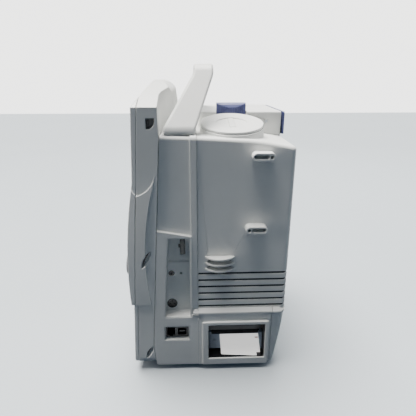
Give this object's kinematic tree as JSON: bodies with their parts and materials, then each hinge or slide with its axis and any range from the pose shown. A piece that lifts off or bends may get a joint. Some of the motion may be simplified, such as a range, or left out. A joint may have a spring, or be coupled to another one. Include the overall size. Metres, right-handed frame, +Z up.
{
  "type": "portable mechanical ventilator",
  "caption": "Portable mechanical ventilator with a leaning display front, strap handle, round hatch, filter deck, strip recorder bay, recessed sockets and vented rear case.",
  "frame": {"origin": "on the surface that the feet stand on, below the middle of the outer box", "axes": "+Z up, the display faces -Y, the recorder and socket side is +X"},
  "size_m": [0.268, 0.23, 0.425],
  "materials": {
    "ivory_plastic": "lightly textured",
    "ivory_cover": "satin",
    "blue_plastic": "satin",
    "overlay_grey": "satin",
    "black_plastic": "satin",
    "window": "polished",
    "lcd": "polished",
    "light_lens": "translucent",
    "knob_grey": "satin",
    "key_rubber": "matte",
    "foot_rubber": "matte",
    "steel": "brushed",
    "zinc_plate": "satin",
    "brass": "turned",
    "chrome": "polished",
    "board_green": "satin",
    "paper": "matte",
    "filter_foam": "open foam",
    "battery_grey": "satin"
  },
  "bodies": {
    "machine": {"accessory_posts": "ivory_plastic", "alarm_light_bar": "light_lens", "base_housing": "ivory_plastic", "bay_panel": "ivory_plastic", "blower_housing": "battery_grey", "blower_motor": "steel", "bottom_plate": "zinc_plate", "carry_handle": "ivory_plastic", "case_screws": "steel", "centre_housing": "ivory_plastic", "chassis": "zinc_plate", "circuit_boards": "board_green", "connector_panel": "ivory_plastic", "control_overlay": "overlay_grey", "cooling_fan": "black_plastic", "display_catches": "black_plastic", "display_frame": "ivory_plastic", "display_window": "window", "encoder_body": "black_plastic", "expiratory_port": "black_plastic", "fan_guard": "chrome", "feet": "foot_rubber", "filter_housing": "ivory_plastic", "front_cover": "ivory_cover", "inspiratory_port": "black_plastic", "lcd_panel": "lcd", "mains_inlet": "black_plastic", "mount_inserts": "brass", "network_bay": "ivory_plastic", "network_socket": "black_plastic", "oxygen_cell": "blue_plastic", "oxygen_inlet": "brass", "oxygen_valve": "steel", "patient_block": "ivory_plastic", "rear_bumpers": "foot_rubber", "rear_case": "ivory_plastic", "rear_panel": "zinc_plate", "recorder_body": "black_plastic", "rocker_cradle": "black_plastic", "side_louvre": "ivory_plastic", "side_sockets": "black_plastic", "speaker": "black_plastic"},
    "knob": {"control_knob": "knob_grey"},
    "knob_spindle": {"encoder_spindle": "steel"},
    "key_1": {"menu_key_1": "key_rubber"},
    "key_2": {"menu_key_2": "key_rubber"},
    "key_3": {"menu_key_3": "key_rubber"},
    "power_rocker": {"power_rocker": "black_plastic"},
    "latch": {"filter_latch": "blue_plastic"},
    "filter_cartridge": {"filter_grille": "blue_plastic", "filter_pad": "filter_foam"},
    "cell_cover": {"oxygen_cell_cover": "ivory_plastic"},
    "recorder_drawer": {"recorder_drawer": "overlay_grey", "paper_strip": "paper"},
    "platen": {"platen_roller": "foot_rubber"},
    "paper_roll": {"paper_roll": "paper"},
    "fan_rotor": {"fan_rotor": "black_plastic"},
    "impeller": {"blower_impeller": "steel"},
    "exhalation_valve": {"exhalation_valve": "blue_plastic"},
    "battery": {"battery_pack": "battery_grey"}
  },
  "joints": [
    {"name": "knob_press", "type": "slide", "parent": "machine", "child": "knob_spindle", "axis": [0, 0.9989, -0.0471], "range_m": [0, 0.0012], "stiffness_N_per_m": 800, "springref_m": -0.0005},
    {"name": "knob_turn", "type": "hinge", "parent": "knob_spindle", "child": "knob", "pos_m": [0.072, -0.10346, 0.15024], "axis": [0, 0.9989, -0.0471], "continuous": true},
    {"name": "key_1_press", "type": "slide", "parent": "machine", "child": "key_1", "axis": [0, 0.9989, -0.0471], "range_m": [0, 0.001], "stiffness_N_per_m": 700, "springref_m": -0.0005},
    {"name": "key_2_press", "type": "slide", "parent": "machine", "child": "key_2", "axis": [0, 0.9989, -0.0471], "range_m": [0, 0.001], "stiffness_N_per_m": 700, "springref_m": -0.0005},
    {"name": "key_3_press", "type": "slide", "parent": "machine", "child": "key_3", "axis": [0, 0.9989, -0.0471], "range_m": [0, 0.001], "stiffness_N_per_m": 700, "springref_m": -0.0005},
    {"name": "power_rocker_tip", "type": "hinge", "parent": "machine", "child": "power_rocker", "pos_m": [0.0973, -0.0325, 0.1895], "axis": [0, 1, 0], "range_deg": [-6, 6]},
    {"name": "filter_latch_push", "type": "slide", "parent": "machine", "child": "latch", "axis": [-1, 0, 0], "range_m": [0, 0.004], "stiffness_N_per_m": 600, "springref_m": -0.001},
    {"name": "filter_slide", "type": "slide", "parent": "machine", "child": "filter_cartridge", "axis": [0, 1, 0], "range_m": [0, 0.06]},
    {"name": "cell_cover_turn", "type": "hinge", "parent": "machine", "child": "cell_cover", "pos_m": [0.073, 0.035, 0.35316], "axis": [0.1908, 0, 0.9816], "range_deg": [0, 30]},
    {"name": "recorder_drawer_slide", "type": "slide", "parent": "machine", "child": "recorder_drawer", "axis": [1, 0, 0], "range_m": [0, 0.04]},
    {"name": "platen_turn", "type": "hinge", "parent": "recorder_drawer", "child": "platen", "pos_m": [0.101, 0.0435, 0.046], "axis": [0, 1, 0], "continuous": true},
    {"name": "paper_roll_turn", "type": "hinge", "parent": "recorder_drawer", "child": "paper_roll", "pos_m": [0.078, 0.0435, 0.0355], "axis": [0, 1, 0], "continuous": true},
    {"name": "fan_spin", "type": "hinge", "parent": "machine", "child": "fan_rotor", "pos_m": [-0.028, 0.095, 0.235], "axis": [0, 1, 0], "continuous": true},
    {"name": "impeller_spin", "type": "hinge", "parent": "machine", "child": "impeller", "pos_m": [-0.028, 0.03, 0.108], "axis": [0, 0, 1], "continuous": true},
    {"name": "exhalation_valve_stroke", "type": "slide", "parent": "machine", "child": "exhalation_valve", "axis": [1, 0, 0], "range_m": [0, 0.0025], "stiffness_N_per_m": 300},
    {"name": "battery_slide", "type": "slide", "parent": "machine", "child": "battery", "axis": [-1, 0, 0], "range_m": [0, 0.1]}
  ],
  "couplings": [
    {"joint": "paper_roll_turn", "follows": "platen_turn", "ratio": 0.375}
  ]
}
